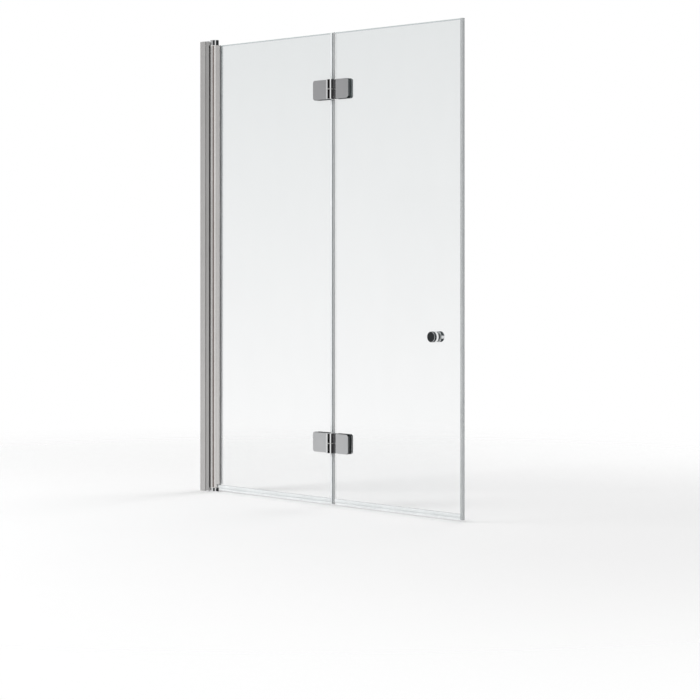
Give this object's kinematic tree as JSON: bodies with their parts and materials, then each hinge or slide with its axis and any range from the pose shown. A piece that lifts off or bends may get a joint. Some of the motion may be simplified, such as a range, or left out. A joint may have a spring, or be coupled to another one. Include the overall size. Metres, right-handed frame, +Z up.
{
  "type": "shower screen",
  "caption": "Folding glass bath screen: a wall post with a pivot tube carries a glass leaf, and a second leaf folds on clamp hinges; knob and edge strips.",
  "frame": {"origin": "foot of the wall profile's back face, in the middle of its depth", "axes": "+X along the closed screen away from the wall, +Y to the wet side, +Z up"},
  "size_m": [1.12, 0.0467, 1.4],
  "materials": {
    "bright_aluminium": "polished",
    "chrome": "polished",
    "steel": "satin",
    "clear_glass": "clear",
    "clear_strip": "translucent",
    "clear_washer": "translucent",
    "dark_rubber": "matte",
    "soft_grey": "matte",
    "white_nylon": "matte"
  },
  "bodies": {
    "wall_post": {"wall_profile": "bright_aluminium", "post_profile": "bright_aluminium", "outer_lip_seal": "dark_rubber", "inner_lip_seal": "dark_rubber", "side_screws": "steel", "head_bearing_cap": "chrome", "foot_bearing_cap": "chrome", "bearing_cap_screws": "steel", "head_pivot_pin": "steel", "foot_pivot_pin": "steel"},
    "inner_leaf": {"pivot_tube": "bright_aluminium", "head_pivot_bush": "white_nylon", "foot_pivot_bush": "white_nylon", "outer_glazing_gasket": "soft_grey", "inner_glazing_gasket": "soft_grey", "inner_glass": "clear_glass", "inner_bottom_strip": "clear_strip", "inner_fold_strip": "clear_strip", "inner_clamp_screws": "steel", "inner_clamp_sleeves": "white_nylon", "upper_hinge_inner_body": "chrome", "upper_hinge_inner_back_plate": "chrome", "upper_hinge_inner_pads": "soft_grey", "upper_hinge_pin": "steel", "lower_hinge_inner_body": "chrome", "lower_hinge_inner_back_plate": "chrome", "lower_hinge_inner_pads": "soft_grey", "lower_hinge_pin": "steel"},
    "outer_leaf": {"outer_glass": "clear_glass", "outer_bottom_strip": "clear_strip", "outer_fold_strip": "clear_strip", "free_edge_strip": "clear_strip", "outer_clamp_screws": "steel", "outer_clamp_sleeves": "white_nylon", "knob_outer_grip": "chrome", "knob_inner_grip": "chrome", "knob_stud": "steel", "knob_washers": "clear_washer", "knob_grub_screw": "steel", "upper_hinge_outer_body": "chrome", "upper_hinge_outer_back_plate": "chrome", "upper_hinge_outer_pads": "soft_grey", "upper_hinge_bush": "white_nylon", "lower_hinge_outer_body": "chrome", "lower_hinge_outer_back_plate": "chrome", "lower_hinge_outer_pads": "soft_grey", "lower_hinge_bush": "white_nylon"}
  },
  "joints": [
    {"name": "wall_pivot", "type": "hinge", "parent": "wall_post", "child": "inner_leaf", "pos_m": [0.05, 0, 0], "axis": [0, 0, 1], "range_deg": [-60, 90]},
    {"name": "leaf_fold", "type": "hinge", "parent": "inner_leaf", "child": "outer_leaf", "pos_m": [0.5935, -0.013, 0], "axis": [0, 0, -1], "range_deg": [0, 180]}
  ]
}
